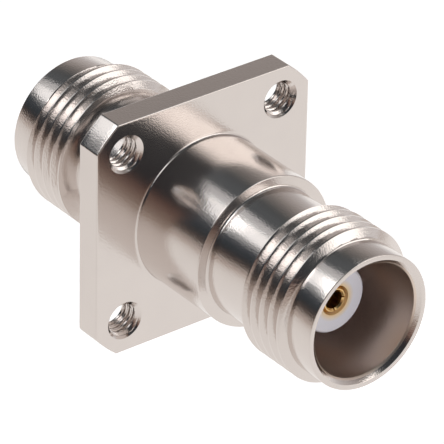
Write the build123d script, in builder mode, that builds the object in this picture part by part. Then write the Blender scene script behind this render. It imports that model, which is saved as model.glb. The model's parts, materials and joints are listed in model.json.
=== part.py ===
"""Coaxial adapter for a panel: two threaded jacks back to back through a square flange.

The frame: millimetres, the connector's axis along Y, Z up, and the origin on the axis in
the plane of the flange's front face. The front jack, the longer one, points to -Y.
"""

import os
from math import ceil, sqrt

from build123d import *

FRONT = -1
REAR = 1

# The four tapped screw holes in the flange, countersunk in front
hole_pitch = 12.7
tap_drill_diameter = 2.1
hole_mouth_diameter = 2.77

# Flange, a square plate whose corners are turned, with these margins round the holes
side_margin = 2.375
corner_margin = 2.22
flange_thickness = 1.91
flange_edge_break = 0.08

# Plain shoulder between the flange and the front jack
shoulder_diameter = 10.95
shoulder_length = 6.63
shoulder_edge_break = 0.1

# Both jacks: the bore, and around it the neck, the threaded band and the plain nose
bore_diameter = 8.15
seat_depth = 8.4
neck_wall = 0.575
neck_root_bevel = 0.2
thread_diameter = 10.91
thread_end_run = 0.2
nose_wall = 0.725
nose_length = 2.42
nose_edge_break = 0.12
mouth_lead_width = 0.36
mouth_lead_length = 0.36

# The 60 degree thread cut into both bands; its crests and roots are flat for an eighth
thread_pitch = 25.4 / 28
thread_flat = thread_pitch / 8
cutter_lead = 1.04
cutter_overlap = 0.04

# Lengths that the front and the rear jack have of their own
front_neck_length = 4.52
front_thread_length = 3.9
front_thread_back_bevel = 0.7
rear_neck_length = 6.88
rear_thread_length = 3.7

# Stepped insulators, pressed into the core bore from both ends
core_diameter = 7.0
press_gap = 0.01
insulator_nose_diameter = 4.7
insulator_face_depth = 3.35
insulator_edge_break = 0.12

# Double-ended centre contact with a collar that the two insulators trap
contact_diameter = 2.06
contact_gap = 0.03
contact_recess = 0.05
collar_diameter = 3.2
collar_length = 1.6
socket_diameter = 1.3
socket_depth = 5.6
socket_lead = 0.1
tip_wall = 0.18
tip_taper_length = 0.35
slot_width = 0.1
slot_depth = 4.4
slot_count = 2

# Sizes, radii and places along Y that follow from the sizes above
flange_side = hole_pitch + 2 * side_margin
flange_corner_diameter = hole_pitch * sqrt(2) + 2 * corner_margin
thread_depth = (thread_pitch / 2 - thread_flat) * sqrt(3)
bore_radius = bore_diameter / 2
neck_radius = bore_radius + neck_wall
nose_radius = bore_radius + nose_wall
shoulder_face_y = FRONT * shoulder_length
front_thread_y = shoulder_face_y + FRONT * front_neck_length
front_mouth_y = front_thread_y + FRONT * (front_thread_length + nose_length)
rear_thread_y = flange_thickness + REAR * rear_neck_length
rear_mouth_y = rear_thread_y + REAR * (rear_thread_length + nose_length)
front_seat_y = front_mouth_y - FRONT * seat_depth
rear_seat_y = rear_mouth_y - REAR * seat_depth
collar_middle_y = (front_seat_y + rear_seat_y) / 2


def jack_section(root_y, thread_y, thread_length, back_bevel, out):
    """Half section of one jack from its root to its mouth; out is FRONT or REAR."""
    thread_radius = thread_diameter / 2
    thread_end_y = thread_y + out * thread_length
    mouth_y = thread_end_y + out * nose_length
    with BuildSketch(Plane.XY) as section:
        with BuildLine():
            Polyline(
                (0, root_y),
                (neck_radius, root_y),
                (neck_radius, thread_y - out * back_bevel),
                (thread_radius, thread_y),
                (thread_radius, thread_end_y),
                (nose_radius, thread_end_y + out * thread_end_run),
                (nose_radius, mouth_y - out * nose_edge_break),
                (nose_radius - nose_edge_break, mouth_y),
                (0, mouth_y),
                close=True,
            )
        make_face()
    return section.sketch


def thread_cutter(start_y):
    """One turn of the V groove, from start_y up, standing a little proud of the band."""
    band_radius = thread_diameter / 2
    root_half = thread_flat / 2
    mouth_half = (thread_pitch - thread_flat) / 2 + cutter_overlap / sqrt(3)
    with BuildPart() as cutter:
        with BuildLine() as turn:
            Helix(
                pitch=thread_pitch,
                height=thread_pitch,
                radius=band_radius,
                center=(0, start_y, 0),
                direction=(0, 1, 0),
            )
        with BuildSketch(Plane.YZ):
            with BuildLine():
                Polyline(
                    (start_y - mouth_half, band_radius + cutter_overlap),
                    (start_y - root_half, band_radius - thread_depth),
                    (start_y + root_half, band_radius - thread_depth),
                    (start_y + mouth_half, band_radius + cutter_overlap),
                    close=True,
                )
            make_face()
        sweep(path=turn.line, is_frenet=True)
    return cutter.part


def cut_thread(low_y, high_y):
    """Cuts the groove turn by turn out of the open part, from below low_y to above high_y."""
    start_y = low_y - cutter_lead
    turns = ceil((high_y + thread_pitch / 2 - start_y) / thread_pitch)
    for turn in range(turns):
        add(thread_cutter(start_y + turn * thread_pitch), mode=Mode.SUBTRACT)


def jack_hollow(mouth_y, out):
    """Half section of what is bored out of one jack, from its mouth to the insulator's seat."""
    with BuildSketch(Plane.XY) as section:
        with BuildLine():
            Polyline(
                (0, mouth_y),
                (bore_radius + mouth_lead_width, mouth_y),
                (bore_radius, mouth_y - out * mouth_lead_length),
                (bore_radius, mouth_y - out * seat_depth),
                (0, mouth_y - out * seat_depth),
                close=True,
            )
        make_face()
    return section.sketch


def insulator_section(seat_y, mouth_y, out):
    """Half section of one insulator: its body in the core bore and its nose in the jack."""
    body_radius = core_diameter / 2 - press_gap
    insulator_nose_radius = insulator_nose_diameter / 2
    hole_radius = contact_diameter / 2 + contact_gap
    inner_y = collar_middle_y + out * collar_length / 2
    face_y = mouth_y - out * insulator_face_depth
    with BuildSketch(Plane.XY) as section:
        with BuildLine():
            Polyline(
                (hole_radius, inner_y),
                (body_radius - insulator_edge_break, inner_y),
                (body_radius, inner_y + out * insulator_edge_break),
                (body_radius, seat_y),
                (insulator_nose_radius, seat_y),
                (insulator_nose_radius, face_y - out * insulator_edge_break),
                (insulator_nose_radius - insulator_edge_break, face_y),
                (hole_radius, face_y),
                close=True,
            )
        make_face()
    return section.sketch


def contact_end_section(tip_y, out):
    """Half section of one end of the contact, from the collar's middle to the socket's mouth."""
    shank_radius = contact_diameter / 2
    socket_radius = socket_diameter / 2
    drill_point = socket_radius / 2
    collar_y = collar_middle_y + out * collar_length / 2
    socket_end_y = tip_y - out * socket_depth
    with BuildSketch(Plane.XY) as section:
        with BuildLine():
            Polyline(
                (0, collar_middle_y),
                (collar_diameter / 2, collar_middle_y),
                (collar_diameter / 2, collar_y),
                (shank_radius, collar_y),
                (shank_radius, tip_y - out * tip_taper_length),
                (socket_radius + tip_wall, tip_y),
                (socket_radius + socket_lead, tip_y),
                (socket_radius, tip_y - out * socket_lead),
                (socket_radius, socket_end_y),
                (0, socket_end_y - out * drill_point),
                close=True,
            )
        make_face()
    return section.sketch


# Body: flange, shoulder and both jacks, turned and milled from one bar
with BuildPart() as body:
    with BuildSketch(Plane.XZ):
        Rectangle(flange_side, flange_side)
        Circle(flange_corner_diameter / 2, mode=Mode.INTERSECT)
    extrude(amount=-flange_thickness)
    flange_faces = body.faces().filter_by(Axis.Y)
    chamfer(flange_faces.edges(), length=flange_edge_break)

    # The holes are drilled right through and then opened at the front face
    with BuildSketch(Plane.XZ):
        with GridLocations(hole_pitch, hole_pitch, 2, 2):
            Circle(tap_drill_diameter / 2)
    extrude(amount=-flange_thickness, mode=Mode.SUBTRACT)
    hole_edges = body.edges().filter_by(
        lambda edge: edge.geom_type == GeomType.CIRCLE
        and abs(edge.radius - tap_drill_diameter / 2) < 0.01
        and edge.center().Y < flange_thickness / 2
    )
    chamfer(hole_edges, length=(hole_mouth_diameter - tap_drill_diameter) / 2)

    # The shoulder, with its front edge broken
    with BuildSketch(Plane.XZ):
        Circle(shoulder_diameter / 2)
    extrude(amount=shoulder_length)
    shoulder_edge = body.faces().sort_by(Axis.Y)[0].edges()
    chamfer(shoulder_edge, length=shoulder_edge_break)

    revolve(
        jack_section(
            shoulder_face_y, front_thread_y, front_thread_length, front_thread_back_bevel, FRONT
        ),
        axis=Axis.Y,
    )
    revolve(
        jack_section(flange_thickness, rear_thread_y, rear_thread_length, 0, REAR),
        axis=Axis.Y,
    )

    # A small bevel where each neck grows out of the metal behind it, within the step there
    shoulder_step = shoulder_diameter / 2 - shoulder_edge_break - neck_radius
    neck_roots = body.edges().filter_by(
        lambda edge: edge.geom_type == GeomType.CIRCLE
        and abs(edge.radius - neck_radius) < 0.01
        and min(abs(edge.center().Y - y) for y in (shoulder_face_y, flange_thickness)) < 0.01
    )
    chamfer(neck_roots, length=min(neck_root_bevel, shoulder_step / 2))

    revolve(jack_hollow(front_mouth_y, FRONT), axis=Axis.Y, mode=Mode.SUBTRACT)
    revolve(jack_hollow(rear_mouth_y, REAR), axis=Axis.Y, mode=Mode.SUBTRACT)

    # The core bore joins the two jacks and holds the insulators
    with BuildSketch(Plane.XZ.offset(-rear_seat_y)):
        Circle(core_diameter / 2)
    extrude(amount=rear_seat_y - front_seat_y, mode=Mode.SUBTRACT)

    # The threads are cut last, and run out over the bevels at the ends of their bands
    cut_thread(front_thread_y - front_thread_length, front_thread_y + front_thread_back_bevel)
    cut_thread(rear_thread_y, rear_thread_y + rear_thread_length + thread_end_run)
body.part.label = "body"

# Front insulator
with BuildPart() as front_insulator:
    revolve(insulator_section(front_seat_y, front_mouth_y, FRONT), axis=Axis.Y)
front_insulator.part.label = "front_insulator"

# Rear insulator, with a nose as long as the front one's
with BuildPart() as rear_insulator:
    revolve(insulator_section(rear_seat_y, rear_mouth_y, REAR), axis=Axis.Y)
rear_insulator.part.label = "rear_insulator"

# Centre contact: one turned rod, a slotted socket at each end
front_tip_y = front_mouth_y - FRONT * (insulator_face_depth + contact_recess)
rear_tip_y = rear_mouth_y - REAR * (insulator_face_depth + contact_recess)
with BuildPart() as centre_contact:
    revolve(contact_end_section(front_tip_y, FRONT), axis=Axis.Y)
    revolve(contact_end_section(rear_tip_y, REAR), axis=Axis.Y)

    # Crossing saw cuts part each socket into spring fingers
    with BuildSketch(Plane.XZ.offset(-front_tip_y)):
        with PolarLocations(0, slot_count, angular_range=180):
            Rectangle(contact_diameter, slot_width)
    extrude(amount=-slot_depth, mode=Mode.SUBTRACT)
    with BuildSketch(Plane.XZ.offset(-rear_tip_y)):
        with PolarLocations(0, slot_count, angular_range=180):
            Rectangle(contact_diameter, slot_width)
    extrude(amount=slot_depth, mode=Mode.SUBTRACT)
centre_contact.part.label = "centre_contact"

os.makedirs("parts", exist_ok=True)
export_step(body.part, "parts/body.step")
export_step(front_insulator.part, "parts/front_insulator.step")
export_step(rear_insulator.part, "parts/rear_insulator.step")
export_step(centre_contact.part, "parts/centre_contact.step")

for piece in (body, front_insulator, rear_insulator, centre_contact):
    print(f"{piece.part.label}: {piece.part.volume:.2f} mm3")
print(f"overall length {rear_mouth_y - front_mouth_y:.2f} mm")
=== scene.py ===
# %% [markdown]
# # A coaxial adapter for a panel
#
# The part is a small metal fitting, 32 mm long. Two threaded jacks stand back to back on a
# square flange, and a white insulator with a gold contact runs through the middle. This
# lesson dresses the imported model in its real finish: true screw threads, nickel plate with
# a fine grain, and a soft studio around it. Every length below is in millimetres until a
# finished piece is scaled to metres, because the mesh operators work best on sizes near one.

# %% Load the frame
import json
from math import atan2, ceil, cos, pi, radians, sin, sqrt, tan

import bmesh
import bpy
from mathutils import Euler, Matrix, Vector

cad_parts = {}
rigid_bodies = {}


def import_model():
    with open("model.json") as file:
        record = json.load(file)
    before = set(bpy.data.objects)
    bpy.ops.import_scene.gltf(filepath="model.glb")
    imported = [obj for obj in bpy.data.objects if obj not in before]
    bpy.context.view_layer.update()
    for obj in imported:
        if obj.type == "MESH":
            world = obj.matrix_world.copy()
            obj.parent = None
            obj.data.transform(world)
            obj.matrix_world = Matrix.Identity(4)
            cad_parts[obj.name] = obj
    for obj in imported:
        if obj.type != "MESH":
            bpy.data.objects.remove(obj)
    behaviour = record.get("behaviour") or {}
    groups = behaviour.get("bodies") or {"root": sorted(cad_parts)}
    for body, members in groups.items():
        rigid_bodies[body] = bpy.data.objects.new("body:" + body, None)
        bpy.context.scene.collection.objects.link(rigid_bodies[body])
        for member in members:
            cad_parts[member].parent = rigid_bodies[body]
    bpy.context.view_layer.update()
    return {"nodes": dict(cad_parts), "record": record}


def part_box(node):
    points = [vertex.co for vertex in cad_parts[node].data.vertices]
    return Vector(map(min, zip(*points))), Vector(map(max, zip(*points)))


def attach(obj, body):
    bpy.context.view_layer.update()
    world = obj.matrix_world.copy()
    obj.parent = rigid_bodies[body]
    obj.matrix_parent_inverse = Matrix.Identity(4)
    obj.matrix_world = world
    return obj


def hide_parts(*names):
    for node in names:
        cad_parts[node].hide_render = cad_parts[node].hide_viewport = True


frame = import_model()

scene = bpy.context.scene
MILLIMETRE = 0.001

# %% [markdown]
# ## Sizes that the frame already holds
#
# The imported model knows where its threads, holes and faces are. Reading them from its
# mounts and boxes keeps the looks on the construction, so nothing has to be fitted by eye.

# %% Read the sizes
mounts = {mount["name"]: mount for mount in frame["record"]["mounts"]}


def along_axis(name):
    """Lowest and highest place of a round mount along Y."""
    middle = mounts[name]["pos_m"][1] / MILLIMETRE
    half = mounts[name]["dims"]["length_mm"] / 2
    return middle - half, middle + half


def box_mm(node):
    """Lowest and highest corner of a CAD node in millimetres."""
    low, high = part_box(node)
    return low / MILLIMETRE, high / MILLIMETRE


body_low, body_high = box_mm("body")
front_mouth_y, rear_mouth_y = body_low.y, body_high.y
flange_half = body_high.x
flange_thickness = mounts["flange_back_face"]["pos_m"][1] / MILLIMETRE
front_thread_low, front_thread_high = along_axis("front_thread")
rear_thread_low, rear_thread_high = along_axis("rear_thread")
thread_radius = mounts["front_thread"]["dims"]["r_mm"]
hole_offset = mounts["flange_holes"]["dims"]["spacing_x_mm"] / 2
drill_radius = mounts["flange_holes"]["dims"]["hole_r_mm"]
print(f"mouths at {front_mouth_y:.2f} and {rear_mouth_y:.2f}, threads of radius {thread_radius}")

# %% [markdown]
# ## Sizes of the turned body
#
# These repeat the construction's own values, for the steps that no mount states.

# %% Name the turned sizes
shoulder_radius = 5.475
shoulder_length = 6.63
neck_radius = 4.65
nose_radius = 4.8
bore_radius = 4.075
core_radius = 3.5
seat_depth = 8.4
mouth_lead_width = 0.36
mouth_lead_length = 0.36
thread_end_run = 0.2
back_bevel = 0.7
flange_corner_radius = 11.2
hole_mouth_radius = 1.385

coupling_pitch = 25.4 / 28
screw_pitch = 25.4 / 56
screw_radius = 2.515 / 2

# %% [markdown]
# ## The cross-section of a thread
#
# Both the coupling thread outside and the small screw threads in the flange are sixty
# degree V threads with narrow flats. Seen as a landscape wrapped round a cylinder, the
# thread is one number: how deep the groove is at a given angle and height. The function
# below gives that depth, and every vertex of the threaded walls is moved by it.

# %% Thread profile
FLANK_SLOPE = sqrt(3)
FLAT_SHARE = 1 / 16


def turn_angle(point, centre):
    """Angle of a point round the Y axis through centre, turning right-handed about +Y."""
    return atan2(-(point.z - centre.z), point.x - centre.x)


def from_crest(angle, y, pitch, start):
    """Distance along Y from the nearest crest of a right-hand thread, in pitches."""
    turns = (y - start) / pitch - angle / (2 * pi)
    return abs(turns - round(turns))


def flank_depth(distance, pitch):
    """Depth below the crest flat at that distance from the crest's middle, in pitches."""
    return max(0.0, (min(distance, 0.5 - FLAT_SHARE) - FLAT_SHARE) * pitch * FLANK_SLOPE)


print(f"coupling thread is {flank_depth(0.5, coupling_pitch):.3f} deep")

# %% [markdown]
# ## A wall whose rows climb with the thread
#
# A plain cylinder has level rows of faces, and a thread cut into it would look like a
# staircase. Spinning an upright line with a small lift at each step makes rows that climb
# exactly one pitch a turn. The line stands a whole number of rows below the thread's start,
# so crests, roots and the edges of their flats fall on rows of their own. After the spin the
# seam is merged and two level cuts trim the climbing ends. A cut leaves extra corners where
# it crosses a row; they are drawn onto the nearest column, or they would show as fine lines
# all along the plain metal that is turned on from this rim.

# %% Screw wall
SEAM = 1e-4
ORIGIN = Vector((0, 0, 0))


def open_rim(bm, y):
    """The edges of every open rim that lies level at y."""
    return [
        edge
        for edge in bm.edges
        if edge.is_boundary and all(abs(vert.co.y - y) < SEAM for vert in edge.verts)
    ]


def screw_wall(centre, radius, pitch, start, low, high, columns, rows):
    """A bmesh with an open tube between low and high whose rows climb one pitch a turn."""
    bm = bmesh.new()
    row = pitch / rows
    count = ceil((high - low + pitch) / row) + 3
    below = ceil((start - low + pitch) / row) + 1
    foot = Vector((centre.x + radius, start - below * row, centre.z))
    line = bm.edges.new([bm.verts.new(foot), bm.verts.new(foot + Vector((0, count * row, 0)))])
    bmesh.ops.subdivide_edges(bm, edges=[line], cuts=count - 1)
    bmesh.ops.spin(
        bm,
        geom=bm.verts[:] + bm.edges[:],
        cent=centre,
        axis=(0, 1, 0),
        dvec=(0, pitch / columns, 0),
        angle=2 * pi,
        steps=columns,
    )
    bmesh.ops.remove_doubles(bm, verts=bm.verts, dist=SEAM)
    for height, up in ((low, -1), (high, 1)):
        bmesh.ops.bisect_plane(
            bm,
            geom=bm.verts[:] + bm.edges[:] + bm.faces[:],
            dist=SEAM / 10,
            plane_co=(0, height, 0),
            plane_no=(0, up, 0),
            clear_outer=True,
        )
    column = 2 * pi / columns
    for edge in open_rim(bm, low) + open_rim(bm, high):
        for vert in edge.verts:
            angle = round(turn_angle(vert.co, centre) / column) * column
            vert.co.x = centre.x + radius * cos(angle)
            vert.co.z = centre.z - radius * sin(angle)
    bmesh.ops.remove_doubles(bm, verts=bm.verts, dist=SEAM)
    return bm


def set_radius(vert, centre, radius, y):
    """Moves a vertex to that radius and height and keeps its angle round the centre."""
    out = Vector((vert.co.x - centre.x, 0, vert.co.z - centre.z)).normalized()
    vert.co = Vector((centre.x, y, centre.z)) + out * radius


trial = screw_wall(ORIGIN, radius=5, pitch=1, start=0, low=0, high=4, columns=8, rows=4)
print(f"a trial wall of eight columns: {len(trial.faces)} faces")
trial.free()

# %% [markdown]
# ## Turning on from a rim
#
# A lathe works its way along the bar, and so does this helper: it takes the open rim of the
# thread, extrudes it, and sets the new ring to the next radius and height. The thread's
# groove still counts there, because a real thread runs out through the bevels at its ends.

# %% Turn on from a rim
def rounded(corners, steps=3):
    """Section points as (radius, y), with an arc where a corner states a rounding."""
    points = []
    for index, (radius, y, bend) in enumerate(corners):
        here = Vector((radius, y))
        if bend == 0:
            points.append(here)
            continue
        back = (Vector(corners[index - 1][:2]) - here).normalized()
        ahead = (Vector(corners[index + 1][:2]) - here).normalized()
        half = back.angle(ahead) / 2
        middle = here + (back + ahead).normalized() * bend / sin(half)
        start = here + back * bend / tan(half) - middle
        end = here + ahead * bend / tan(half) - middle
        points += [middle + start.slerp(end, step / steps) * bend for step in range(steps + 1)]
    return [(point.x, point.y) for point in points]


def turn_on(bm, rim, section, groove=None):
    """Extrudes a rim through the section's points and returns the last rim."""
    for radius, y in section:
        grown = bmesh.ops.extrude_edge_only(bm, edges=rim)["geom"]
        ring = [item for item in grown if isinstance(item, bmesh.types.BMVert)]
        fresh = set(ring)
        rim = [
            item
            for item in grown
            if isinstance(item, bmesh.types.BMEdge) and set(item.verts) <= fresh
        ]
        for vert in ring:
            limit = groove(turn_angle(vert.co, ORIGIN), y) if groove else radius
            set_radius(vert, ORIGIN, min(radius, limit), y)
    return rim


def steps_between(first, last, count):
    """Section points evenly spaced from first to last, without first itself."""
    return [
        (
            first[0] + (last[0] - first[0]) * step / count,
            first[1] + (last[1] - first[1]) * step / count,
        )
        for step in range(1, count + 1)
    ]


corner = rounded([(0, 0, 0), (1, 0, 0.1), (1, 1, 0)], 1)[1:3]
print("a square corner rounded by 0.1:", [(round(x, 3), round(y, 3)) for x, y in corner])

# %% [markdown]
# ## The outside and the inside of a jack
#
# From the outer end of its thread each jack runs on through a steep face to the nose, over
# the rounded mouth, down the lead-in and along the bore to the seat of the insulator. The
# same function makes both jacks, turned the other way round.

# %% Jacks
JACK_COLUMNS = 256
THREAD_ROWS = 16
MOUTH_ROUND = 0.07
END_STEPS = 5
NOSE_LAND = 0.03


def thread_band(low, high, start):
    """A bmesh with a threaded band, and the groove function that shaped it."""

    def groove(angle, y):
        distance = from_crest(angle, y, coupling_pitch, start)
        return thread_radius - flank_depth(distance, coupling_pitch)

    bm = screw_wall(
        ORIGIN, thread_radius, coupling_pitch, start, low, high, JACK_COLUMNS, THREAD_ROWS
    )
    for vert in bm.verts:
        y = vert.co.y
        set_radius(vert, ORIGIN, groove(turn_angle(vert.co, ORIGIN), y), y)
    return bm, groove


def turn_mouth(bm, groove, thread_end, mouth, out, middle):
    """Turns a jack from its thread's outer end over the mouth and into the core bore."""
    rim = open_rim(bm, thread_end)
    nose_foot = (nose_radius, thread_end + out * thread_end_run)
    cut_end = steps_between((thread_radius, thread_end), nose_foot, END_STEPS)
    rim = turn_on(bm, rim, cut_end, groove)
    lead_radius = bore_radius + mouth_lead_width
    lead_end = mouth - out * mouth_lead_length
    seat = mouth - out * seat_depth
    section = rounded(
        [
            (nose_radius, nose_foot[1] + out * NOSE_LAND, 0),
            (nose_radius, mouth, MOUTH_ROUND),
            (lead_radius, mouth, MOUTH_ROUND / 2),
            (bore_radius, lead_end, MOUTH_ROUND),
            (bore_radius, seat, 0),
            (core_radius, seat, 0),
            (core_radius, middle, 0),
        ]
    )
    turn_on(bm, rim, section)


print(f"jacks: {JACK_COLUMNS} columns round, {THREAD_ROWS} rows to a pitch")

# %% [markdown]
# ## The tapped holes
#
# Each flange hole is the same kind of wall, seen from inside: the groove now bites outwards,
# and a countersink opens the front end.

# %% Tapped holes
HOLE_COLUMNS = 56
HOLE_ROWS = 16


def tapped_hole(centre, start):
    """A bmesh with one tapped, countersunk hole through the flange."""
    bm = screw_wall(
        centre, drill_radius, screw_pitch, start, 0, flange_thickness, HOLE_COLUMNS, HOLE_ROWS
    )
    for vert in bm.verts:
        y = vert.co.y
        distance = from_crest(turn_angle(vert.co, centre), y, screw_pitch, start)
        cut = screw_radius - flank_depth(distance, screw_pitch)
        cone = hole_mouth_radius - y
        set_radius(vert, centre, max(drill_radius, cut, cone), y)
    return bm


print(f"tapped holes: {HOLE_COLUMNS} columns round, {HOLE_ROWS} rows to a pitch")

# %% [markdown]
# ## The flange
#
# The flange is a disc of bar stock cut square, so its corners are short arcs. A circle
# face is trimmed by four planes, extruded to the plate's thickness, and its edges are
# bevelled. Only the two flat faces still have more than eight corners. They are taken out
# and filled again round the holes. A narrow flat ring is left beside every rounding, so the
# rounding's shading stays inside it.

# %% Flange plate
PLATE_SEGMENTS = 256
PLATE_EDGE = 0.08
FLAT_RING = 0.1
CORNER_EDGE = 0.06
SHARP_TURN = radians(15)
FLAT_CORNERS = 8


def rise(edge):
    """How far an edge climbs along Y."""
    return abs(edge.verts[0].co.y - edge.verts[1].co.y)


def soften(bm, edges, offset, segments):
    """Bevels edges with a round profile."""
    bmesh.ops.bevel(
        bm,
        geom=edges,
        offset=offset,
        segments=segments,
        profile=0.5,
        affect="EDGES",
        material=-1,
    )


def flange_plate():
    """A bmesh with the flange's rim, open at the front and at the back."""
    bm = bmesh.new()
    lay = Matrix.Rotation(radians(90), 4, "X")
    bmesh.ops.create_circle(
        bm, cap_ends=True, radius=flange_corner_radius, segments=PLATE_SEGMENTS, matrix=lay
    )
    for axis in (Vector((1, 0, 0)), Vector((0, 0, 1))):
        for side in (-1, 1):
            bmesh.ops.bisect_plane(
                bm,
                geom=bm.verts[:] + bm.edges[:] + bm.faces[:],
                plane_co=axis * side * flange_half,
                plane_no=axis * side,
                clear_outer=True,
            )
    face = bm.faces[:][0]
    grown = bmesh.ops.extrude_face_region(bm, geom=[face])["geom"]
    moved = [item for item in grown if isinstance(item, bmesh.types.BMVert)]
    bmesh.ops.translate(bm, verts=moved, vec=(0, flange_thickness, 0))
    bm.normal_update()
    corners = [
        edge
        for edge in bm.edges
        if rise(edge) > PLATE_EDGE and edge.calc_face_angle(0) > SHARP_TURN
    ]
    soften(bm, corners, CORNER_EDGE, 2)
    soften(bm, [edge for edge in bm.edges if rise(edge) < SEAM], PLATE_EDGE, 3)
    flats = [face for face in bm.faces if len(face.verts) > FLAT_CORNERS]
    bmesh.ops.inset_individual(bm, faces=flats, thickness=FLAT_RING, use_even_offset=True)
    bmesh.ops.delete(bm, geom=flats, context="FACES_ONLY")
    return bm


print(f"flange: {2 * flange_half:.2f} mm square, {flange_thickness:.2f} mm thick")

# %% [markdown]
# ## The whole body
#
# One closed skin: both threads, both mouths, the necks with their small root fillets, the
# shoulder, the flange and its holes.

# %% Build the body
BEVEL_STEPS = 10
ROOT_LAND = 0.05
ROOT_FILLET = 0.2
SHOULDER_ROUND = 0.08
SHOULDER_FILLET = 0.14
CORE_GAP = 0.5
CUTTER_LEAD = 1.04
FRONT_START = front_thread_low - CUTTER_LEAD - coupling_pitch / 4
REAR_START = rear_thread_low - CUTTER_LEAD - coupling_pitch / 4
HOLE_START = 0.1


def take_in(bm, part):
    """Adds another bmesh's geometry to this one."""
    step = bpy.data.meshes.new("step")
    part.to_mesh(step)
    part.free()
    bm.from_mesh(step)
    bpy.data.meshes.remove(step)


middle_y = (front_mouth_y + rear_mouth_y) / 2

bm, front_groove = thread_band(front_thread_low, front_thread_high, FRONT_START)
turn_mouth(bm, front_groove, front_thread_low, front_mouth_y, -1, middle_y - CORE_GAP)
bevel_end = (neck_radius, front_thread_high + back_bevel)
front_root = turn_on(
    bm,
    open_rim(bm, front_thread_high),
    steps_between((thread_radius, front_thread_high), bevel_end, BEVEL_STEPS),
    front_groove,
)
turn_on(
    bm,
    front_root,
    rounded(
        [
            (neck_radius, bevel_end[1] + ROOT_LAND, 0),
            (neck_radius, -shoulder_length, ROOT_FILLET),
            (shoulder_radius, -shoulder_length, SHOULDER_ROUND),
            (shoulder_radius, 0, SHOULDER_FILLET),
            (shoulder_radius + 2 * SHOULDER_FILLET, 0, 0),
            (shoulder_radius + 2 * SHOULDER_FILLET + FLAT_RING, 0, 0),
        ]
    ),
)

rear, rear_groove = thread_band(rear_thread_low, rear_thread_high, REAR_START)
turn_mouth(rear, rear_groove, rear_thread_high, rear_mouth_y, 1, middle_y + CORE_GAP)
turn_on(
    rear,
    open_rim(rear, rear_thread_low),
    rounded(
        [
            (neck_radius, rear_thread_low, 0),
            (neck_radius, flange_thickness, ROOT_FILLET),
            (neck_radius + 2 * ROOT_FILLET, flange_thickness, 0),
            (neck_radius + 2 * ROOT_FILLET + FLAT_RING, flange_thickness, 0),
        ]
    ),
)
take_in(bm, rear)
take_in(bm, flange_plate())
for x in (-hole_offset, hole_offset):
    for z in (-hole_offset, hole_offset):
        take_in(bm, tapped_hole(Vector((x, 0, z)), HOLE_START))

core_rims = open_rim(bm, middle_y - CORE_GAP) + open_rim(bm, middle_y + CORE_GAP)
bmesh.ops.bridge_loops(bm, edges=core_rims)
for y in (0, flange_thickness):
    bmesh.ops.triangle_fill(bm, use_beauty=True, edges=open_rim(bm, y))
bmesh.ops.recalc_face_normals(bm, faces=bm.faces)
loose = [edge for edge in bm.edges if not edge.is_manifold]
print(f"body: {len(bm.faces)} faces, {len(loose)} open edges, volume {bm.calc_volume():.1f} mm3")

# %% [markdown]
# ## Finishing a piece
#
# A finished piece is scaled to metres, gets crisp edges where the real metal has them, on
# the thread as well, and is handed to the frame: it rides on a body and stands for its CAD
# node. At the back of the flange the small thread's flank meets the flat at about 30
# degrees, just under the crisp limit, so its shading still spreads there.

# %% Finish a piece
CRISP = radians(33)


def finish_piece(bm, name, node):
    """Turns a bmesh in millimetres into a finished object that stands for a CAD node."""
    for face in bm.faces:
        face.smooth = True
    for edge in bm.edges:
        edge.smooth = edge.calc_face_angle(0) < CRISP
    bmesh.ops.scale(bm, verts=bm.verts, vec=(MILLIMETRE,) * 3)
    mesh = bpy.data.meshes.new(name)
    bm.to_mesh(mesh)
    bm.free()
    piece = bpy.data.objects.new(name, mesh)
    scene.collection.objects.link(piece)
    weighted = piece.modifiers.new("weighted_normals", "WEIGHTED_NORMAL")
    weighted.keep_sharp = True
    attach(piece, "root")
    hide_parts(node)
    print(f"{name}: {sum(len(face.vertices) - 2 for face in mesh.polygons)} triangles")
    return piece


body_piece = finish_piece(bm, "threaded_body", "body")

# %% [markdown]
# ## Materials
#
# Nickel plate over turned brass is bright but not a mirror: it keeps the lathe's fine rings
# and a grain of tiny pits. The group below makes both from Object coordinates. The rings
# come from noise that only sees the radius and the height, so it is the same all the way
# round, and the grain is ordinary fine noise.

# %% Turned and plated finish
RING_NOISE = (9000, 3.0)
GRAIN_NOISE = (8000, 1.0)
BLOTCH_NOISE = (500, 2.0)


def new_group(name, inputs, outputs):
    """A shader node group with named sockets and its two end nodes."""
    group = bpy.data.node_groups.new(name, "ShaderNodeTree")
    for label, kind, value in inputs:
        socket = group.interface.new_socket(label, in_out="INPUT", socket_type=kind)
        if value is not None:
            socket.default_value = value
    for label, kind in outputs:
        group.interface.new_socket(label, in_out="OUTPUT", socket_type=kind)
    return group, group.nodes.new("NodeGroupInput"), group.nodes.new("NodeGroupOutput")


def join(tree, source, target):
    """Links an output socket to an input socket."""
    tree.links.new(source, target)


def feed(tree, value, socket):
    """Links a socket to an input, or sets a number or a colour on it."""
    if isinstance(value, bpy.types.NodeSocket):
        join(tree, value, socket)
    elif isinstance(value, tuple):
        socket.default_value = (*value, 1)
    else:
        socket.default_value = value


def math_node(tree, operation, *values):
    """A Math node fed by sockets or numbers."""
    node = tree.nodes.new("ShaderNodeMath")
    node.operation = operation
    for value, socket in zip(values, node.inputs):
        feed(tree, value, socket)
    return node.outputs[0]


def noise(tree, vector, scale, detail):
    """A Noise Texture on that vector; returns its factor."""
    node = tree.nodes.new("ShaderNodeTexNoise")
    node.inputs["Scale"].default_value = scale
    node.inputs["Detail"].default_value = detail
    join(tree, vector, node.inputs["Vector"])
    return node.outputs["Fac"]


def split_vector(tree, vector):
    """The X, Y and Z sockets of a vector."""
    node = tree.nodes.new("ShaderNodeSeparateXYZ")
    join(tree, vector, node.inputs[0])
    return node.outputs


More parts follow.
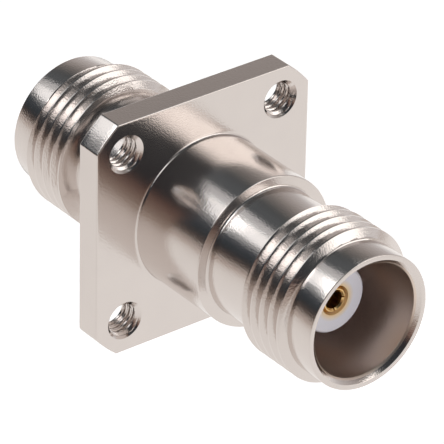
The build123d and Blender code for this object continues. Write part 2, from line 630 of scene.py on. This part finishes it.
def axis_radius(tree, parts):
    """Distance from the part's own Y axis."""
    squares = [math_node(tree, "MULTIPLY", parts[axis], parts[axis]) for axis in "XZ"]
    return math_node(tree, "SQRT", math_node(tree, "ADD", *squares))


def lathe_finish():
    """Group: rings that follow the lathe, fine grain and slow blotches."""
    group, start, end = new_group(
        "lathe_finish",
        [
            ("Vector", "NodeSocketVector", None),
            ("Ring Share", "NodeSocketFloat", 0.5),
            ("Grain Share", "NodeSocketFloat", 0.5),
        ],
        [
            ("Height", "NodeSocketFloat"),
            ("Blotch", "NodeSocketFloat"),
            ("Radius", "NodeSocketFloat"),
        ],
    )
    parts = split_vector(group, start.outputs["Vector"])
    radius = axis_radius(group, parts)
    section = group.nodes.new("ShaderNodeCombineXYZ")
    join(group, radius, section.inputs["X"])
    join(group, parts["Y"], section.inputs["Y"])
    rings = noise(group, section.outputs[0], *RING_NOISE)
    grain = noise(group, start.outputs["Vector"], *GRAIN_NOISE)
    ring_part = math_node(group, "MULTIPLY", rings, start.outputs["Ring Share"])
    grain_part = math_node(group, "MULTIPLY", grain, start.outputs["Grain Share"])
    join(group, math_node(group, "ADD", ring_part, grain_part), end.inputs["Height"])
    join(group, radius, end.inputs["Radius"])
    join(group, noise(group, start.outputs["Vector"], *BLOTCH_NOISE), end.inputs["Blotch"])
    return group


lathe_group = lathe_finish()


def principled(name):
    """A new material with its shader and Object coordinates."""
    material = bpy.data.materials.new(name)
    material.use_nodes = True
    tree = material.node_tree
    shader = tree.nodes["Principled BSDF"]
    coords = tree.nodes.new("ShaderNodeTexCoord").outputs["Object"]
    return material, tree, shader, coords


def turned_finish(tree, coords, ring_share, grain_share):
    """The shared finish inside a material; returns its outputs."""
    finish = tree.nodes.new("ShaderNodeGroup")
    finish.node_tree = lathe_group
    finish.inputs["Ring Share"].default_value = ring_share
    finish.inputs["Grain Share"].default_value = grain_share
    join(tree, coords, finish.inputs["Vector"])
    return finish.outputs


def mix_colours(tree, factor, first, second):
    """A mix of two colours, each a constant or a socket, by a factor socket."""
    node = tree.nodes.new("ShaderNodeMix")
    node.data_type = "RGBA"
    for value, label in ((factor, "Factor"), (first, "A"), (second, "B")):
        feed(tree, value, node.inputs[label])
    return node.outputs["Result"]


def bump(tree, shader, height, distance):
    """Feeds a height through a Bump node to the shader's normal."""
    node = tree.nodes.new("ShaderNodeBump")
    node.inputs["Distance"].default_value = distance
    join(tree, height, node.inputs["Height"])
    join(tree, node.outputs["Normal"], shader.inputs["Normal"])


def map_range(tree, value, source=(0, 1), target=(0, 1), smooth=False):
    """Maps a value from one range to another, straight or by a smooth step."""
    node = tree.nodes.new("ShaderNodeMapRange")
    if smooth:
        node.interpolation_type = "SMOOTHSTEP"
    labels = ("From Min", "From Max", "To Min", "To Max")
    for label, limit in zip(labels, (*source, *target)):
        node.inputs[label].default_value = limit
    join(tree, value, node.inputs["Value"])
    return node.outputs["Result"]


print(f"shared finish: {lathe_group.name}")

# %% [markdown]
# ## Nickel plate
#
# The plate is a warm, slightly uneven grey. Down in the bores, inside a set radius, the metal
# is browner and rougher.

# %% Nickel plate
PLATE_TINTS = ((0.75, 0.7, 0.67), (0.72, 0.67, 0.645))
PLATE_ROUGHNESS = (0.13, 0.18)
PLATE_BUMP = 0.000011
BORE_TINT = (0.8, 0.69, 0.61)
BORE_TINT_RADIUS = 4.2
BORE_DULLING = 0.2


def nickel_plate():
    """Warm grey nickel with lathe rings and grain."""
    material, tree, shader, coords = principled("nickel_plate")
    shader.inputs["Metallic"].default_value = 1.0
    finish = turned_finish(tree, coords, ring_share=0.3, grain_share=0.7)
    tint = mix_colours(tree, finish["Blotch"], *PLATE_TINTS)
    inside = math_node(tree, "LESS_THAN", finish["Radius"], BORE_TINT_RADIUS * MILLIMETRE)
    join(tree, mix_colours(tree, inside, tint, BORE_TINT), shader.inputs["Base Color"])
    shine = map_range(tree, finish["Blotch"], target=PLATE_ROUGHNESS)
    dulled = math_node(tree, "MULTIPLY", inside, BORE_DULLING)
    join(tree, math_node(tree, "ADD", shine, dulled), shader.inputs["Roughness"])
    bump(tree, shader, finish["Height"], PLATE_BUMP)
    return material


nickel = nickel_plate()
body_piece.data.materials.append(nickel)
print(f"{body_piece.name} wears {nickel.name}")

# %% [markdown]
# ## Insulator and contact
#
# The insulators are white fluoropolymer, waxy and a little bluish. Close to the contact a
# touch of gold is painted into the plastic's colour, a painted glow for the gold light that
# creeps through the plastic on the real part. The contact is thin gold over copper alloy.

# %% Insulator and contact
WHITE_TINTS = ((0.78, 0.775, 0.86), (0.84, 0.835, 0.9))
WHITE_ROUGHNESS = (0.4, 0.55)
MOTTLE_NOISE = (700, 3.0)
WAX_NOISE = (6000, 2.0)
WAX_BUMP = 0.000006
# painted glow: gold light near the contact, painted into the plastic's base colour
PAINTED_GLOW_TINT = (0.92, 0.66, 0.3)
PAINTED_GLOW_RADII = (1.07 * MILLIMETRE, 1.5 * MILLIMETRE)
PAINTED_GLOW_SHARES = (0.85, 0)
GOLD_TINTS = ((0.95, 0.68, 0.32), (0.92, 0.63, 0.27))
GOLD_ROUGHNESS = (0.2, 0.3)
GOLD_BUMP = 0.000004


def insulator_white():
    """Waxy white plastic with a faint mottle and a painted gold glow near the contact."""
    material, tree, shader, coords = principled("insulator_white")
    mottle = noise(tree, coords, *MOTTLE_NOISE)
    tint = mix_colours(tree, mottle, *WHITE_TINTS)
    radius = axis_radius(tree, split_vector(tree, coords))
    # painted glow: the base colour turns gold towards the contact, in place of light through the
    # plastic
    glow = map_range(tree, radius, source=PAINTED_GLOW_RADII, target=PAINTED_GLOW_SHARES)
    join(tree, mix_colours(tree, glow, tint, PAINTED_GLOW_TINT), shader.inputs["Base Color"])
    join(tree, map_range(tree, mottle, target=WHITE_ROUGHNESS), shader.inputs["Roughness"])
    bump(tree, shader, noise(tree, coords, *WAX_NOISE), WAX_BUMP)
    return material


def contact_gold():
    """Thin gold plate on the contact."""
    material, tree, shader, coords = principled("contact_gold")
    shader.inputs["Metallic"].default_value = 1.0
    finish = turned_finish(tree, coords, ring_share=0.7, grain_share=0.3)
    join(tree, mix_colours(tree, finish["Blotch"], *GOLD_TINTS), shader.inputs["Base Color"])
    shine = map_range(tree, finish["Blotch"], target=GOLD_ROUGHNESS)
    join(tree, shine, shader.inputs["Roughness"])
    bump(tree, shader, finish["Height"], GOLD_BUMP)
    return material


def dress(node, material):
    """Gives a CAD node its finish."""
    carried = frame["nodes"][node]
    carried.data.materials.clear()
    carried.data.materials.append(material)


plastic = insulator_white()
dress("front_insulator", plastic)
dress("rear_insulator", plastic)
dress("centre_contact", contact_gold())
print(f"materials: {', '.join(material.name for material in bpy.data.materials)}")

# %% [markdown]
# ## The studio
#
# Polished metal shows little but its surroundings, so the surroundings are built with care.
# The world's brightness depends on the angle round the part's own axis: pale to the right,
# dark overhead, a warm glow low on the left. The turned faces mirror what lies behind the
# part and the flange and thread flanks what lies in front, so each half has its own bands,
# and a pale panel stands at the front right. The camera itself sees plain white.

# %% World
REAR_BANDS = [
    (0, (0.85, 0.83, 0.83)),
    (12, (0.6, 0.57, 0.56)),
    (36, (0.4, 0.365, 0.35)),
    (55, (0.2, 0.185, 0.175)),
    (72, (0.08, 0.086, 0.09)),
    (86, (0.1, 0.11, 0.118)),
    (110, (0.055, 0.06, 0.065)),
    (148, (0.05, 0.058, 0.068)),
    (160, (0.034, 0.042, 0.05)),
    (168, (0.045, 0.04, 0.04)),
    (176, (0.13, 0.1, 0.085)),
    (180, (0.3, 0.25, 0.22)),
]
FRONT_BANDS = [
    (0, (0.1, 0.1, 0.1)),
    (80, (0.05, 0.055, 0.06)),
    (148, (0.03, 0.03, 0.035)),
    (160, (0.17, 0.1, 0.08)),
    (180, (0.38, 0.29, 0.25)),
]
FRONT_PANEL = (1.7, 1.65, 1.6)
PANEL_EDGE = (0.13, 0.46)
FRONT_EDGE = (-0.55, -0.65)


def band_ramp(tree, turn, bands):
    """A colour ramp over half a turn about the Y axis, with its stops in degrees."""
    ramp = tree.nodes.new("ShaderNodeValToRGB")
    join(tree, turn, ramp.inputs[0])
    stops = ramp.color_ramp.elements
    while len(stops) < len(bands):
        stops.new(0.5)
    for stop, (place, tone) in zip(stops, bands):
        stop.position = place / 180
        stop.color = (*tone, 1)
    return ramp.outputs["Color"]


def mix_shaders(tree, factor, first, second):
    """A mix of two shaders by a factor socket."""
    node = tree.nodes.new("ShaderNodeMixShader")
    for value, socket in zip((factor, first, second), node.inputs):
        join(tree, value, socket)
    return node.outputs[0]


def studio_world():
    """World light in long bands round the Y axis, and white where the camera sees it."""
    world = bpy.data.worlds.new("studio")
    bpy.context.scene.world = world
    world.use_nodes = True
    tree = world.node_tree
    tree.nodes.clear()
    parts = split_vector(tree, tree.nodes.new("ShaderNodeTexCoord").outputs["Generated"])
    angle = math_node(tree, "ARCTAN2", parts["Z"], parts["X"])
    turn = math_node(tree, "DIVIDE", angle, pi)
    right = map_range(tree, parts["X"], source=PANEL_EDGE, smooth=True)
    front = mix_colours(tree, right, band_ramp(tree, turn, FRONT_BANDS), FRONT_PANEL)
    ahead = map_range(tree, parts["Y"], source=FRONT_EDGE, smooth=True)
    tone = mix_colours(tree, ahead, band_ramp(tree, turn, REAR_BANDS), front)
    light = tree.nodes.new("ShaderNodeBackground")
    join(tree, tone, light.inputs["Color"])
    plain = tree.nodes.new("ShaderNodeBackground")
    plain.inputs["Color"].default_value = (1, 1, 1, 1)
    camera_ray = tree.nodes.new("ShaderNodeLightPath").outputs["Is Camera Ray"]
    seen = mix_shaders(tree, camera_ray, light.outputs[0], plain.outputs[0])
    out = tree.nodes.new("ShaderNodeOutputWorld")
    join(tree, seen, out.inputs["Surface"])


studio_world()
print(f"world: {len(REAR_BANDS)} bands behind, {len(FRONT_BANDS)} in front")

# %% [markdown]
# ## Lamps
#
# One long strip light overhead on the left draws the bright streak along the part, with a
# dim edge on each side. Two nearer panels, left and right, light the thread's grooves. A
# last soft lamp looks into the mouth. The metal does not mirror that one, so it only lifts
# the insulator.

# %% Lamps
DOWN = Vector((0, 0, -1))
STRIPS = [
    ("strip_box", (-0.3575, 0.43, 0.5), (0.285, 1.34), 1.1),
    ("strip_spill", (-0.1475, 0.43, 0.501), (0.135, 1.34), 0.5),
    ("strip_fade", (-0.6, 0.43, 0.501), (0.2, 1.34), 0.25),
    ("strip_near", (-0.47, 0.13, 0.49), (0.46, 0.42), 1.3),
    ("strip_right", (0.4, 0.1, 0.5), (0.5, 0.3), 0.5),
]
MOUTH_FILL_PLACE = Vector((-0.25, -1.1, 0.3))


def soft_box(name, place, aim, size, level):
    """A rectangular lamp that looks as bright as a surface of that level."""
    width, length = size
    lamp = bpy.data.lights.new(name, "AREA")
    lamp.shape = "RECTANGLE"
    lamp.size = width
    lamp.size_y = length
    lamp.energy = level * pi * width * length
    box = bpy.data.objects.new(name, lamp)
    scene.collection.objects.link(box)
    box.location = place
    box.rotation_euler = aim.to_track_quat("-Z", "Y").to_euler()
    return box


for name, place, size, level in STRIPS:
    soft_box(name, place, DOWN, size, level)
mouth_fill = soft_box("mouth_fill", MOUTH_FILL_PLACE, -MOUTH_FILL_PLACE, (0.5, 0.5), 4.7)
mouth_fill.visible_glossy = False
print(f"lamps: {', '.join(lamp.name for lamp in bpy.data.lights)}")

# %% [markdown]
# ## Floor
#
# A plain pale floor lies under the part and keeps its shadow. To the camera it glows a
# little, which lifts it to the white of a product photograph without more light on the
# metal. In the metal's mirror it fades from white behind on the right to warm brown on the
# left and in front.

# %% Floor
FLOOR_DROP = 25
FLOOR_SIZE = 4000
FLOOR_GREY = 0.9
FLOOR_ROUGHNESS = 0.9
SIDE_FADE = (-0.5, 0.15)
DEPTH_FADE = (-0.3, 0)
DEPTH_SHARES = (0.2, 1)
WARM_TONE = (0.4, 0.32, 0.27)
WHITE_TONE = (1.02, 1.0, 0.98)
CAMERA_WHITE = 0.6


def studio_floor():
    """A wide pale floor some way under the part."""
    floor_bm = bmesh.new()
    bmesh.ops.create_grid(floor_bm, x_segments=1, y_segments=1, size=FLOOR_SIZE / 2 * MILLIMETRE)
    drop = Vector((0, 0, (body_low.z - FLOOR_DROP) * MILLIMETRE))
    bmesh.ops.translate(floor_bm, verts=floor_bm.verts, vec=drop)
    mesh = bpy.data.meshes.new("floor")
    floor_bm.to_mesh(mesh)
    floor_bm.free()
    floor = bpy.data.objects.new("floor", mesh)
    scene.collection.objects.link(floor)
    material, tree, shader, coords = principled("pale_floor")
    shader.inputs["Base Color"].default_value = (FLOOR_GREY, FLOOR_GREY, FLOOR_GREY, 1)
    shader.inputs["Roughness"].default_value = FLOOR_ROUGHNESS
    path = tree.nodes.new("ShaderNodeLightPath").outputs
    mirrored = math_node(tree, "MAXIMUM", path["Is Glossy Ray"], path["Is Transmission Ray"])
    parts = split_vector(tree, coords)
    side = map_range(tree, parts["X"], source=SIDE_FADE, smooth=True)
    depth = map_range(tree, parts["Y"], source=DEPTH_FADE, target=DEPTH_SHARES, smooth=True)
    bright = math_node(tree, "MULTIPLY", side, depth)
    shown = tree.nodes.new("ShaderNodeEmission")
    join(tree, mix_colours(tree, bright, WARM_TONE, WHITE_TONE), shown.inputs["Color"])
    glow = tree.nodes.new("ShaderNodeEmission")
    to_camera = math_node(tree, "MULTIPLY", path["Is Camera Ray"], CAMERA_WHITE)
    join(tree, to_camera, glow.inputs["Strength"])
    both = tree.nodes.new("ShaderNodeAddShader")
    surface = mix_shaders(tree, mirrored, shader.outputs[0], shown.outputs[0])
    join(tree, surface, both.inputs[0])
    join(tree, glow.outputs[0], both.inputs[1])
    join(tree, both.outputs[0], tree.nodes["Material Output"].inputs["Surface"])
    floor.data.materials.append(material)


studio_floor()
print(f"floor {FLOOR_DROP} mm under the part")

# %% [markdown]
# ## Camera
#
# A long lens from the front left and above, as in a product photograph.

# %% Camera
CAMERA_PLACE = Vector((-161.593, -208.779, 155.498)) * MILLIMETRE
CAMERA_TURN = Euler((radians(59.351), radians(-1.068), radians(-37.389)), "XYZ")
LENS = 374.1
SENSOR_WIDTH = 36
NEAREST, FARTHEST = 0.01, 100

camera_data = bpy.data.cameras.new("camera")
camera_data.lens = LENS
camera_data.sensor_width = SENSOR_WIDTH
camera_data.clip_start = NEAREST
camera_data.clip_end = FARTHEST
camera = bpy.data.objects.new("camera", camera_data)
scene.collection.objects.link(camera)
camera.location = CAMERA_PLACE
camera.rotation_euler = CAMERA_TURN
scene.camera = camera
scene.view_settings.view_transform = "Standard"
print(f"camera {CAMERA_PLACE.length:.2f} m away, lens {LENS} mm")
